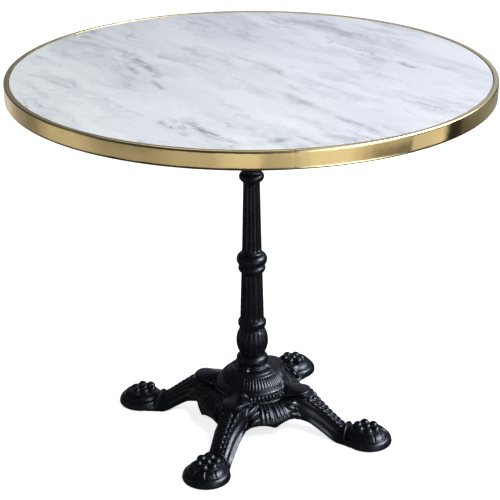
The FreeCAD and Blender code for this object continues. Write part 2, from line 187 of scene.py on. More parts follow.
def smooth_max(a, b, k):
    return -smooth_min(-a, -b, k)


def even(field, step):
    """Divides a field by its own slope, so that it reads as a distance near the surface."""
    gx, gy, gz = np.gradient(field, step)
    return field / np.clip(np.sqrt(gx * gx + gy * gy + gz * gz), 0.6, 4.0)


class Clay:
    """Block of distance samples in millimetres, negative inside, that shapes are added to."""
    FAR = 60.0       # distance of an empty block
    MARGIN = 6.0     # what is worked on round a shape's own corners

    def __init__(self, low, high, step):
        self.step = step
        self.low = np.array(low, float)
        count = np.ceil((np.array(high) - self.low) / step).astype(int) + 1
        self.axes = [(start + step * np.arange(n)).astype(np.float32)
                     for start, n in zip(self.low, count)]
        self.field = np.full(count, self.FAR, np.float32)

    def part(self, low=None, high=None):
        """Slices and open coordinate arrays of the block between two corners."""
        cut = []
        for i, axis in enumerate(self.axes):
            a = 0 if low is None else int(np.searchsorted(axis, low[i] - self.MARGIN))
            b = len(axis) if high is None else int(np.searchsorted(axis, high[i] + self.MARGIN))
            cut.append(slice(max(0, a), max(1, b)))
        x, y, z = (axis[c] for axis, c in zip(self.axes, cut))
        return tuple(cut), x[:, None, None], y[None, :, None], z[None, None, :]

    def add(self, shape, blend=0.0, low=None, high=None):
        cut, x, y, z = self.part(low, high)
        self.field[cut] = smooth_min(self.field[cut], shape(x, y, z), blend)

    def cut(self, shape, blend=0.0, low=None, high=None):
        cut, x, y, z = self.part(low, high)
        self.field[cut] = smooth_max(self.field[cut], -shape(x, y, z), blend)

    def raise_by(self, height):
        """Moves the surface outward by height(x, y, z)."""
        cut, x, y, z = self.part()
        self.field[cut] = self.field[cut] - height(x, y, z)

    def ball(self, centre, radii, blend=0.0, pitch=0.0, yaw=0.0):
        """Ellipsoid, pitched about Y and then yawed about Z, in degrees."""
        radii = np.array(radii if np.ndim(radii) else (radii,) * 3, float)
        reach = radii.max()
        c = np.array(centre, float)
        p, w = radians(pitch), radians(yaw)

        def shape(x, y, z):
            x, y, z = x - c[0], y - c[1], z - c[2]
            x, y = x * cos(w) + y * sin(w), -x * sin(w) + y * cos(w)
            x, z = x * cos(p) - z * sin(p), x * sin(p) + z * cos(p)
            k0 = np.sqrt((x / radii[0])**2 + (y / radii[1])**2 + (z / radii[2])**2)
            k1 = np.sqrt((x / radii[0]**2)**2 + (y / radii[1]**2)**2 + (z / radii[2]**2)**2)
            return k0 * (k0 - 1) / np.maximum(k1, 1e-4)
        self.add(shape, blend, c - reach, c + reach)

    def cord(self, points, radii, blend=0.0, cut=False):
        """Round bar along a smooth path through the points, its radius changing on the way."""
        path = smooth_path(points, 6)
        r = np.interp(np.linspace(0, 1, len(path)), np.linspace(0, 1, len(radii)), radii)

        def shape(x, y, z):
            best = None
            for a, b, ra, rb in zip(path[:-1], path[1:], r[:-1], r[1:]):
                ab = b - a
                along = (x - a[0]) * ab[0] + (y - a[1]) * ab[1] + (z - a[2]) * ab[2]
                t = np.clip(along / max(ab @ ab, 1e-9), 0, 1)
                d = np.sqrt((x - a[0] - t * ab[0])**2 + (y - a[1] - t * ab[1])**2
                            + (z - a[2] - t * ab[2])**2) - (ra + t * (rb - ra))
                best = d if best is None else np.minimum(best, d)
            return best
        low, high = path.min(0) - max(radii), path.max(0) + max(radii)
        (self.cut if cut else self.add)(shape, blend, low, high)

    def object(self, name, mat):
        """The surface as a mesh object."""
        band = 3 * self.step
        grid = openvdb.FloatGrid(band)
        grid.copyFromArray(np.clip(self.field, -band, band).astype(np.float32))
        points, triangles, quads = grid.convertToPolygons(isovalue=0.0, adaptivity=0.0)
        points = points * self.step + self.low
        return mesh_object(name, points, list(triangles) + list(quads), mat, 60.0)


def smooth_path(points, count):
    """Catmull-Rom path through the points."""
    p = np.array(points, float)
    ends = np.vstack([2 * p[0] - p[1], p, 2 * p[-1] - p[-2]])
    out = []
    for i in range(len(p) - 1):
        a, b, c, d = ends[i:i + 4]
        for t in np.arange(count) / count:
            out.append(0.5 * (2 * b + (c - a) * t + (2 * a - 5 * b + 4 * c - d) * t**2
                              + (3 * b - a - 3 * c + d) * t**3))
    return np.array(out + [p[-1]])


def turned_shape(outline, x0=0.0):
    """Distance to a closed outline (r, z) turned about the vertical line at x0."""
    grain, room = 0.5, 14
    o = np.array(outline, float)
    r_axis = np.arange(-2.0, o[:, 0].max() + room, grain)
    z_axis = np.arange(o[:, 1].min() - room, o[:, 1].max() + room, grain)
    r, z = np.meshgrid(r_axis, z_axis, indexing="ij")
    best = np.full(r.shape, np.inf)
    inside = np.zeros(r.shape, bool)
    for (ar, az), (br, bz) in zip(o, np.roll(o, -1, axis=0)):
        er, ez = br - ar, bz - az
        t = np.clip(((r - ar) * er + (z - az) * ez) / max(er * er + ez * ez, 1e-9), 0, 1)
        best = np.minimum(best, (r - ar - t * er)**2 + (z - az - t * ez)**2)
        if ez != 0:
            crosses = (az > z) != (bz > z)
            inside ^= crosses & (r < (br - ar) * (z - az) / ez + ar)
    table = np.sqrt(best) * np.where(inside, -1, 1)

    def shape(x, y, z):
        r = np.sqrt((x - x0)**2 + y**2)
        u = np.clip((r - r_axis[0]) / grain, 0, len(r_axis) - 1.001)
        v = np.clip((z - z_axis[0]) / grain, 0, len(z_axis) - 1.001)
        i, j = u.astype(int), v.astype(int)
        fu, fv = u - i, v - j
        return (table[i, j] * (1 - fu) * (1 - fv) + table[i + 1, j] * fu * (1 - fv)
                + table[i, j + 1] * (1 - fu) * fv + table[i + 1, j + 1] * fu * fv)
    return shape


def upright(x0, y0, radius, low, high):
    """Distance to an upright round bar."""
    def shape(x, y, z):
        side = np.sqrt((x - x0)**2 + (y - y0)**2) - radius
        return np.maximum(side, np.maximum(low - z, z - high))
    return shape


def eased(table, blur):
    """Function through (x, value) pairs with its corners rounded over about blur."""
    step, reach = 0.5, 24
    xs, ys = np.array(table, float).T
    grid = np.arange(xs[0] - 20, xs[-1] + 20, step)
    slopes = np.interp(grid, xs, ys)
    kernel = np.exp(-0.5 * (np.arange(-reach, reach + 1) * step / blur)**2)
    padded = np.pad(slopes, reach, mode="edge")
    smooth = np.convolve(padded, kernel / kernel.sum(), mode="valid")
    return lambda x: np.interp(x, grid, smooth).astype(np.float32)


# -------------------- material helpers
def set_inputs(tree, node, inputs):
    """Links an input that is given a socket, and sets any other to its value."""
    for key, value in inputs.items():
        if isinstance(value, bpy.types.NodeSocket):
            tree.links.new(value, node.inputs[key])
        else:
            node.inputs[key].default_value = value


def add(tree, kind, inputs=None, **settings):
    """New shader node with its settings, and its inputs set or linked."""
    n = tree.nodes.new("ShaderNode" + kind)
    for key, value in settings.items():
        setattr(n, key, value)
    set_inputs(tree, n, inputs or {})
    return n


def new_material(name, **constants):
    """Principled material with constants on its own sockets."""
    mat = bpy.data.materials.new(name)
    mat.use_nodes = True
    tree = mat.node_tree
    bsdf = tree.nodes["Principled BSDF"]
    for key, value in constants.items():
        bsdf.inputs[key.replace("_", " ")].default_value = value
    return mat, tree, bsdf


def place(tree):
    """Object coordinates, in metres of the shared frame."""
    return add(tree, "TexCoord").outputs["Object"]


def mapped(tree, vector, **settings):
    """The vector after a Mapping node's Scale or Rotation."""
    return add(tree, "Mapping", {"Vector": vector, **settings}).outputs[0]


def math_node(tree, operation, a, b=0.0, clamp=False):
    node = add(tree, "Math", {0: a, 1: b}, operation=operation, use_clamp=clamp)
    return node.outputs[0]


def times(tree, a, b):
    return math_node(tree, "MULTIPLY", a, b)


def plus(tree, a, b):
    return math_node(tree, "ADD", a, b)


def vector_node(tree, operation, a, b):
    """Vector or number from two vectors, or from a vector and its scale."""
    second = "Scale" if operation == "SCALE" else 1
    node = add(tree, "VectorMath", {0: a, second: b}, operation=operation)
    return node.outputs["Value" if operation in ("DOT_PRODUCT", "DISTANCE") else "Vector"]


def noise(tree, vector, scale, detail=3.0, rough=0.5, distortion=0.0):
    n = add(tree, "TexNoise", {"Vector": vector, "Scale": scale, "Detail": detail,
                               "Roughness": rough, "Distortion": distortion})
    return n.outputs["Fac"]


def ramp(tree, value, stops):
    """Colour ramp; a stop is (position, grey) or (position, (r, g, b))."""
    n = add(tree, "ValToRGB", {"Fac": value})
    elements = n.color_ramp.elements
    elements[0].position, elements[1].position = stops[0][0], stops[-1][0]
    for position, _ in stops[1:-1]:
        elements.new(position)
    for element, (_, colour) in zip(elements, stops):
        rgb = colour if isinstance(colour, tuple) else (colour,) * 3
        element.color = (*rgb, 1.0)
    return n.outputs["Color"]


def spread_to(tree, value, low, high, to_low=0.0, to_high=1.0):
    n = add(tree, "MapRange", {"Value": value, "From Min": low, "From Max": high,
                               "To Min": to_low, "To Max": to_high})
    return n.outputs["Result"]


def blend_colour(tree, factor, a, b):
    return add(tree, "Mix", {0: factor, 6: a, 7: b}, data_type="RGBA").outputs[2]


def paint(tree, bsdf, colour, roughness=None):
    """Links the colour of the surface, and its roughness where that varies too."""
    tree.links.new(colour, bsdf.inputs["Base Color"])
    if roughness is not None:
        tree.links.new(roughness, bsdf.inputs["Roughness"])


def bump(tree, bsdf, height, distance, strength, normal=None):
    """Bump on the material; distance is in metres."""
    inputs = {"Height": height, "Distance": distance, "Strength": strength}
    if normal is not None:
        inputs["Normal"] = normal
    out = add(tree, "Bump", inputs).outputs["Normal"]
    tree.links.new(out, bsdf.inputs["Normal"])
    return out


def grey(value):
    return (value, value, value, 1.0)


# -------------------- marble
VEINS = (     # start and end (mm from the centre, +Y to the back), half width mm, percent
    (-395, 125, -310, 65, 5, 40), (-310, 65, -235, 5, 6, 50), (-260, 30, -200, -30, 10, 80),
    (-200, -30, -145, -80, 12, 85), (-145, -115, -110, -155, 6, 50), (-235, -30, -185, -85, 6, 45),
    (-200, 40, -60, -25, 5, 35), (-105, 100, 0, 55, 7, 50), (0, 55, 75, -10, 7, 50),
    (75, -10, 145, -50, 5, 40), (110, -110, 225, -200, 9, 45), (225, -200, 330, -255, 9, 45),
    (0, -300, 75, -365, 11, 55), (-35, -330, 30, -375, 10, 60), (80, -375, 120, -385, 8, 45),
    (125, -400, 195, -340, 9, 35), (190, -305, 250, -345, 6, 45), (-420, -40, -345, -85, 6, 50),
    (-375, -155, -270, -205, 5, 40), (-285, -175, -80, -310, 5, 35), (240, 155, 270, 130, 7, 70),
    (260, 175, 340, 140, 5, 40), (335, -75, 415, -110, 4, 45), (400, -30, 435, -40, 4, 30),
    (-95, 375, -5, 280, 6, 30), (-240, 335, -155, 265, 8, 35), (160, 325, 225, 295, 6, 35))
VEIN_Z = 0.29     # the polished face's height in the flattened coordinates


def vein_group():
    """Node group: keeps the larger of a mask and a soft stroke between two points."""
    group = bpy.data.node_groups.new("vein_stroke", "ShaderNodeTree")
    for name, kind in (("Point", "NodeSocketVector"), ("Start", "NodeSocketVector"),
                       ("End", "NodeSocketVector"), ("Width", "NodeSocketFloat"),
                       ("Strength", "NodeSocketFloat"), ("Mask", "NodeSocketFloat")):
        group.interface.new_socket(name=name, in_out="INPUT", socket_type=kind)
    group.interface.new_socket(name="Mask", in_out="OUTPUT", socket_type="NodeSocketFloat")
    source = group.nodes.new("NodeGroupInput").outputs
    from_start = vector_node(group, "SUBTRACT", source["Point"], source["Start"])
    run = vector_node(group, "SUBTRACT", source["End"], source["Start"])
    share = math_node(group, "DIVIDE", vector_node(group, "DOT_PRODUCT", from_start, run),
                      vector_node(group, "DOT_PRODUCT", run, run), clamp=True)
    foot = vector_node(group, "SCALE", run, share)
    away = vector_node(group, "DISTANCE", from_start, foot)
    near = math_node(group, "DIVIDE", away, source["Width"])
    squared = times(group, near, near)
    fall = math_node(group, "EXPONENT", times(group, squared, -1.0))
    stroke = times(group, fall, source["Strength"])
    result = math_node(group, "MAXIMUM", stroke, source["Mask"])
    out = group.nodes.new("NodeGroupOutput")
    group.links.new(result, out.inputs["Mask"])
    return group


def marble_material():
    """Polished white marble with grey veins running down to the right."""
    mat, tree, bsdf = new_material("marble_polished", Roughness=0.14, IOR=1.5)
    at = place(tree)
    flat = mapped(tree, at, Scale=(1.0, 1.0, 0.4))

    def shifted(vector, scale, amount, detail):
        """Moves the coordinates about by a noise of that scale, by amount in metres."""
        n = add(tree, "TexNoise", {"Vector": vector, "Scale": scale, "Detail": detail})
        centred = vector_node(tree, "SUBTRACT", n.outputs["Color"], (0.5, 0.5, 0.5))
        return vector_node(tree, "ADD", vector, vector_node(tree, "SCALE", centred, amount))

    rough_place = shifted(flat, 9.0, 0.06, 2.0)
    fine_place = shifted(rough_place, 38.0, 0.022, 3.0)
    vein_place = shifted(shifted(flat, 9.0, 0.02, 2.0), 38.0, 0.016, 3.0)
    vein_place = shifted(vein_place, 140.0, 0.008, 3.0)
    turned = mapped(tree, fine_place, Rotation=(0, 0, radians(33)))
    grain = mapped(tree, turned, Scale=(0.24, 1.0, 1.0))
    clouds = noise(tree, grain, 7.0, 4.0, 0.55)
    streaks = noise(tree, grain, 26.0, 5.0, 0.6)
    broad = noise(tree, flat, 3.2, 2.0, 0.5)
    mask = 0.0
    group = vein_group()
    for x0, y0, x1, y1, width, percent in VEINS:
        n = add(tree, "Group", node_tree=group)
        values = {"Start": (x0 * MM, y0 * MM, VEIN_Z), "End": (x1 * MM, y1 * MM, VEIN_Z),
                  "Width": width * MM, "Strength": percent / 100, "Point": vein_place,
                  "Mask": mask}
        set_inputs(tree, n, values)
        mask = n.outputs["Mask"]
    patchy = spread_to(tree, noise(tree, grain, 75.0, 5.0, 0.65), 0.38, 0.58, 0.25, 1.0)
    veins = times(tree, mask, patchy)

    def hairs(scale, half_width, places):
        """Thin dark lines along the grain, in some places only."""
        off_middle = math_node(tree, "SUBTRACT", noise(tree, grain, scale, 4.0, 0.6), 0.5)
        field = math_node(tree, "ABSOLUTE", off_middle)
        present = spread_to(tree, noise(tree, rough_place, places, 2.0), 0.42, 0.62)
        line = spread_to(tree, field, 0.0, half_width, 1.0, 0.0)
        return times(tree, line, present)

    coarse = times(tree, hairs(9.0, 0.016, 5.0), 0.38)
    fine = times(tree, hairs(23.0, 0.022, 8.0), 0.2)
    hair = plus(tree, coarse, fine)
    cloudy = spread_to(tree, clouds, 0.42, 0.68, 0.0, 0.32)
    streaky = spread_to(tree, streaks, 0.47, 0.70, 0.0, 0.40)
    ground = plus(tree, cloudy, streaky)
    total = math_node(tree, "ADD", ground, plus(tree, veins, hair), clamp=True)
    toned = times(tree, total, spread_to(tree, broad, 0.3, 0.7, 0.75, 1.15))
    lilac = ramp(tree, toned, ((0.0, (0.85, 0.85, 0.875)), (0.35, (0.68, 0.68, 0.715)),
                               (0.7, (0.45, 0.455, 0.50)), (1.0, (0.25, 0.255, 0.29))))
    greenish = ramp(tree, toned, ((0.0, (0.865, 0.88, 0.875)), (0.35, (0.71, 0.73, 0.73)),
                                  (0.7, (0.47, 0.49, 0.495)), (1.0, (0.26, 0.275, 0.275))))
    where = add(tree, "SeparateXYZ", {"Vector": shifted(flat, 6.0, 0.3, 2.0)})
    diagonal = plus(tree, where.outputs["X"], where.outputs["Y"])
    side = spread_to(tree, diagonal, -0.2, 0.1)
    paint(tree, bsdf, blend_colour(tree, side, greenish, lilac),
          spread_to(tree, streaks, 0.3, 0.7, 0.12, 0.18))
    return mat


# -------------------- other materials
def brass_material():
    """Polished brass sheet with faint rubbing marks and slight tarnish."""
    mat, tree, bsdf = new_material("brass_polished", Metallic=1.0, Roughness=0.07)
    at = place(tree)
    tarnish = noise(tree, at, 9.0, 4.0, 0.6)
    colour = ramp(tree, tarnish, ((0.3, (0.86, 0.63, 0.27)), (0.55, (0.93, 0.71, 0.34)),
                                  (0.75, (0.88, 0.66, 0.30))))
    rubbed = noise(tree, mapped(tree, at, Scale=(1.0, 1.0, 9.0)), 160.0, 4.0, 0.6)
    paint(tree, bsdf, colour, spread_to(tree, rubbed, 0.3, 0.75, 0.03, 0.10))
    waves = bump(tree, bsdf, noise(tree, at, 22.0, 2.0, 0.5), 0.0016, 0.35)
    bump(tree, bsdf, rubbed, 0.00004, 0.5, waves)
    return mat


def iron_material():
    """Glossy black stove enamel over a cast surface."""
    mat, tree, bsdf = new_material("iron_black_enamel", Roughness=0.3, IOR=1.36)
    at = place(tree)
    patches = noise(tree, at, 30.0, 4.0, 0.6)
    colour = ramp(tree, patches, ((0.3, (0.0016, 0.0018, 0.0028)), (0.7, (0.0036, 0.0039, 0.0058))))
    gloss = noise(tree, at, 70.0, 5.0, 0.65)
    paint(tree, bsdf, colour, spread_to(tree, gloss, 0.3, 0.75, 0.2, 0.34))
    skin = bump(tree, bsdf, noise(tree, at, 110.0, 2.0, 0.5), 0.0008, 0.3)
    bump(tree, bsdf, noise(tree, at, 420.0, 3.0, 0.55), 0.0002, 0.35, skin)
    return mat


PLY_THICKNESS = 0.0031     # metres


def plywood_material():
    """Dark stained birch plywood: grain on the face, thin plies on the edge."""
    mat, tree, bsdf = new_material("plywood_birch", Roughness=0.6)
    at = place(tree)
    grain = noise(tree, mapped(tree, at, Scale=(2.2, 26.0, 2.0)), 5.0, 6.0, 0.65, 0.6)
    face = ramp(tree, grain, ((0.3, (0.030, 0.024, 0.020)), (0.5, (0.050, 0.040, 0.033)),
                              (0.7, (0.075, 0.060, 0.050))))
    height = add(tree, "SeparateXYZ", {"Vector": at}).outputs["Z"]
    layer = math_node(tree, "FRACT", times(tree, height, 1 / PLY_THICKNESS))
    off_middle = math_node(tree, "ABSOLUTE", math_node(tree, "SUBTRACT", layer, 0.5))
    glue = spread_to(tree, off_middle, 0.4, 0.5, 0.0, 0.6)
    normal = add(tree, "NewGeometry").outputs["Normal"]
    upward = add(tree, "SeparateXYZ", {"Vector": normal}).outputs["Z"]
    side = math_node(tree, "SUBTRACT", 1.0, math_node(tree, "ABSOLUTE", upward))
    dark = times(tree, glue, side)
    paint(tree, bsdf, blend_colour(tree, dark, face, (0.015, 0.011, 0.009, 1.0)))
    bump(tree, bsdf, grain, 0.0003, 0.5)
    return mat


def steel_material():
    """Bright zinc-plated steel with a crystalline bloom."""
    mat, tree, bsdf = new_material("steel_zinc", Metallic=1.0, Roughness=0.35)
    at = place(tree)
    bloom = add(tree, "TexVoronoi", {"Vector": at, "Scale": 260.0}).outputs["Distance"]
    colour = ramp(tree, bloom, ((0.0, (0.62, 0.64, 0.66)), (1.0, (0.50, 0.52, 0.55))))
    paint(tree, bsdf, colour, spread_to(tree, noise(tree, at, 300.0, 3.0), 0.3, 0.7, 0.25, 0.5))
    bump(tree, bsdf, noise(tree, at, 900.0, 2.0), 0.00005, 0.6)
    return mat


def nylon_material():
    """Moulded black nylon."""
    mat, tree, bsdf = new_material("nylon_black", Roughness=0.5)
    at = place(tree)
    speck = noise(tree, at, 500.0, 3.0)
    paint(tree, bsdf, ramp(tree, speck, ((0.3, 0.012), (0.7, 0.022))),
          spread_to(tree, speck, 0.3, 0.7, 0.42, 0.6))
    bump(tree, bsdf, speck, 0.00008, 0.6)
    return mat


def sealant_material():
    """Dark grey sealant, slightly dusty."""
    mat, tree, bsdf = new_material("sealant_dark", Roughness=0.55)
    at = place(tree)
    dust = noise(tree, at, 180.0, 4.0)
    paint(tree, bsdf, ramp(tree, dust, ((0.35, (0.035, 0.03, 0.026)), (0.75, (0.11, 0.095, 0.08)))))
    bump(tree, bsdf, dust, 0.0002, 0.5)
    return mat


MARBLE = marble_material()
BRASS = brass_material()
IRON = iron_material()
PLYWOOD = plywood_material()
STEEL = steel_material()
NYLON = nylon_material()
SEALANT = sealant_material()

SLOT_MATERIALS = {"marble": MARBLE, "brass": BRASS, "black_iron": IRON, "plywood": PLYWOOD,
                  "zinc_steel": STEEL, "nylon": NYLON, "sealant": SEALANT}


def dress_nodes():
    """Gives every CAD node the material of its slot."""
    for part in frame["record"]["subparts"]:
        mesh = frame["nodes"][part["node"]].data
        mesh.materials.clear()
        mesh.materials.append(SLOT_MATERIALS[part["material_slot"]])


def finish_piece(piece, slot, *nodes):
    """A piece of the fixed table that stands for CAD nodes."""
    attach(piece, "table")
    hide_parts(*nodes)


# -------------------- brass rim
RIM_SHEET = 1.2
RIM_LIP = 9.0
RIM_RETURN = 8.0
RIM_EDGE = 2.4
SEAM = radians(-60.3)
SEAM_GAP = 0.6


def rim_section():
    """Closed outline (r, z) of the folded band, from the foot of the inner return round."""
    lip, out, top, low, t = RIM_RADIUS - RIM_LIP, RIM_RADIUS, TOP_Z, RIM_BOTTOM, RIM_SHEET
    bend = RIM_EDGE * (1 - sqrt(0.5))
    outer = profile((lip, top - RIM_RETURN), (lip, top - 0.5),
                    ((lip + 0.15, top - 0.15), (lip + 0.5, top)),
                    (lip + 2.5, top), (lip + 4.5, top), (out - RIM_EDGE, top),
                    ((out - bend, top - bend), (out, top - RIM_EDGE)), arc=6)
    wall = spread([(out, top - RIM_EDGE), (out, low + RIM_EDGE)], 3.0)[1:]
    foot = profile((out, low + RIM_EDGE), ((out - bend, low + bend), (out - RIM_EDGE, low)),
                   (lip + 1, low), (lip + 1, low + t), (out - t, low + t), (out - t, top - t),
                   (lip + t, top - t), (lip + t, top - RIM_RETURN), arc=6)[1:]
    return np.array(outer + wall + foot)


def rim_piece():
    """The band, split at the seam, with the slight waviness of hand-folded sheet."""
    section = rim_section()
    half_gap = SEAM_GAP / 2 / RIM_RADIUS
    segments = 1080
    turn = np.linspace(0, TAU - 2 * half_gap, segments + 1)
    angle = SEAM + half_gap + turn
    r, z = grids(section, len(angle))
    from_wall = window(r, RIM_RADIUS - 0.6, RIM_RADIUS + 1, 1.5)
    level = (z - RIM_BOTTOM) / (TOP_Z - RIM_BOTTOM)
    waves = ((0.10, 9, 1.0, 1), (0.07, 17, 4.2, 1), (0.05, 31, 2.6, level),
             (0.04, 44, 0.4, 1 - level))
    wave = sum(size * (1 + np.sin(count * angle + start)) * share
               for size, count, start, share in waves)
    belly = 0.18 * (2 * level - 1)**2
    to_start, to_end = turn * RIM_RADIUS, (turn[-1] - turn) * RIM_RADIUS
    ends = 0.30 * np.exp(-to_start / 12) + 0.12 * np.exp(-to_end / 9)
    r -= from_wall * (wave * 0.6 + belly + ends)
    points = turned_points(r, angle, z)
    rows, cols = len(section), len(angle)
    faces = []
    for i in range(rows):
        this, after = i * cols, (i + 1) % rows * cols
        faces += [(this + j, after + j, after + j + 1, this + j + 1) for j in range(cols - 1)]
    faces.append([i * cols for i in range(rows)])
    faces.append([i * cols + cols - 1 for i in reversed(range(rows))])
    return mesh_object("rim_band", points, faces, BRASS, 35.0)


# -------------------- column castings
FLUTES = 16
LOBES = 16
PLAIN_SEGMENTS = 160


def level_of(name):
    """Bottom and top of a column casting, without its spigot."""
    low, high = box_mm(name)
    return float(low[2]), float(high[2]) - SPIGOT_LENGTH


def flutes(low, high, depth=1.6, share=0.8):
    """Relief of straight hollow flutes with rounded ends."""
    def relief(angle, r, z):
        pitch = TAU / FLUTES
        x = ((angle / pitch + 0.5) % 1.0 - 0.5) * pitch * r / (pitch * r * share / 2)
        half = pitch * r * share / 2
        end = np.maximum(np.maximum(low + half - z, z - (high - half)), 0) / half
        cut = np.sqrt(np.clip(1 - x * x - end * end, 0, 1))
        return -depth * cut
    return relief


def column_pieces():
    """The six castings of the column, from the vase to the neck."""
    made = []
    # vase with melon lobes
    z, top = level_of("vase_bulb")
    outer = spread(profile((22.2, z), (22.8, z + 0.6), ((31.4, z + 26), (24.6, top - 3.4)),
                           ((24.3, top - 2.0), (24.6, top - 0.6)), (24.0, top), arc=36), 1.2)

    def melon(angle, r, zz):
        x = ((angle * LOBES / TAU) % 1.0) * 2 - 1
        body = window(zz, z + 9, top - 9, 7)
        crease = 1 - np.sqrt(np.clip(1 - 0.92 * x * x, 0, 1))
        return -2.3 * crease * body
    made.append(casting("vase_lobed", outer, LOBES * 14, melon))

    # lower shaft and its beaded foot ring
    z, top = level_of("lower_column")
    shaft_low, shaft_high = z + 17.6, top
    outer = profile((24.4, z), ((26.9, z + 4.4), (27.3, z + 9.5)),
                    ((26.8, z + 14.5), (24.0, z + 17.2)), (23.6, z + 17.6), arc=12)
    outer += spread([(23.5, z + 17.9), (20.7, top - 0.5)], 1.0)
    outer.append((20.2, top))
    groove = flutes(shaft_low + 1.5, shaft_high - 2.5)

    def beaded(angle, r, zz):
        x = ((angle * FLUTES / TAU + 0.5) % 1.0) * 2 - 1
        scallop = 1 - np.sqrt(np.clip(1 - 0.95 * x * x, 0, 1))
        return groove(angle, r, zz) - 2.4 * scallop * window(zz, z - 2, z + 7, 4)
    made.append(casting("lower_shaft_fluted", outer, FLUTES * 16, beaded))

    # two rings at mid height
    z, top = level_of("knop_ring")
    outer = profile((20.4, z), (21.0, z + 0.5), ((26.5, z + 8.5), (24.4, z + 14.2)),
                    ((23.9, z + 15.3), (24.8, z + 16.2)), ((29.6, z + 28), (23.6, top - 5)),
                    ((21.4, top - 3.6), (19.9, top - 0.4)), (19.4, top), arc=14)
    made.append(casting("knop_rings", outer, PLAIN_SEGMENTS))

    # upper shaft
    z, top = level_of("upper_column")
    outer = [(18.8, z), (19.3, z + 0.5)]
    outer += spread([(19.25, z + 1.0), (16.1, top - 0.5)], 1.0)
    outer.append((15.6, top))
    groove = flutes(z + 2.5, top - 2.5)
    made.append(casting("upper_shaft_fluted", outer, FLUTES * 16, groove))

    # collar
    z, top = level_of("collar_ring")
    outer = profile((16.0, z), (16.6, z + 0.5), ((18.2, z + 3.2), (20.6, z + 5.2)),
                    ((24.0, z + 13), (20.9, z + 20)), ((19.4, z + 21.6), (18.9, z + 23.5)),
                    (18.8, top - 0.4), (18.3, top), arc=14)
    made.append(casting("collar_torus", outer, PLAIN_SEGMENTS))

    # neck
    z, top = level_of("neck")
    outer = profile((18.0, z), (18.5, z + 0.4), ((19.5, z + 2.5), (18.0, z + 5)), (16.6, z + 7),
                    ((16.4, z + 40), (18.9, z + 76)), ((21.7, z + 80), (19.6, z + 84)),
                    ((22.0, z + 100), (30.8, top - 6)), ((31.5, top - 3), (30.8, top)), arc=16)
    made.append(casting("neck_flared", outer, PLAIN_SEGMENTS))
    for piece, node in zip(made, COLUMN):
        finish_piece(piece, "black_iron", node)


# -------------------- base hub
BEADS = 60


def polar(radius, turn, z):
    a = radians(turn)
    return (radius * cos(a), radius * sin(a), z)


SHOULDER_TIP, TIP_RADIUS = 119.5, 22.0
SHOULDER_RIDGE = eased((
    (20, 143), (28, 137.5), (36, 131), (44.5, 123.5), (52, 116.5), (60, 108.5), (68, 102.5),
    (76, 99), (84, 97.6), (94, 97), (104, 96.2), (110, 95), (115, 92.8), (121, 89)), 1.5)
SHOULDER_LIP = eased((
    (50, 80), (60, 82.5), (68, 84.8), (76, 86), (86, 87.5), (96, 88.5), (108, 89), (126, 89)), 2.5)
SHOULDER_HALF = eased((
    (50, 14), (58, 24), (64, 34), (68, 36), (76, 33), (84, 30), (90, 27), (97, 23.5), (104, 22),
    (130, 22)), 1.5)
SHOULDER_CREST = eased((
    (20, 12), (44, 13), (60, 14.5), (72, 18), (80, 22), (88, 24), (96, 22.5), (130, 22)), 3.0)
ROOT_TOP = eased((
    (40, 87), (84, 88), (104, 89.5), (113, 89.5), (118, 87.5), (124, 84), (130, 77)), 1.5)


def arched(u, v, z, low, high, half):
    """Signed level of an elliptic arch that spans from -half to half at low and peaks at high."""
    rise = np.maximum(high - low, 1.0)
    reach = np.sqrt((v / half)**2 + (np.maximum(z - low, 0) / rise)**2)
    return (reach - 1) * np.minimum(half, rise)


def leg_axes(x, y):
    """Distance out along the nearest leg, and off to its side."""
    x, y = np.abs(x), np.abs(y)
    return np.maximum(x, y), np.minimum(x, y)


def hoop(radius, level, thick):
    """Distance to a round ring about the column."""
    def shape(x, y, z):
        return np.sqrt((np.sqrt(x * x + y * y) - radius)**2 + (z - level)**2) - thick
    return shape


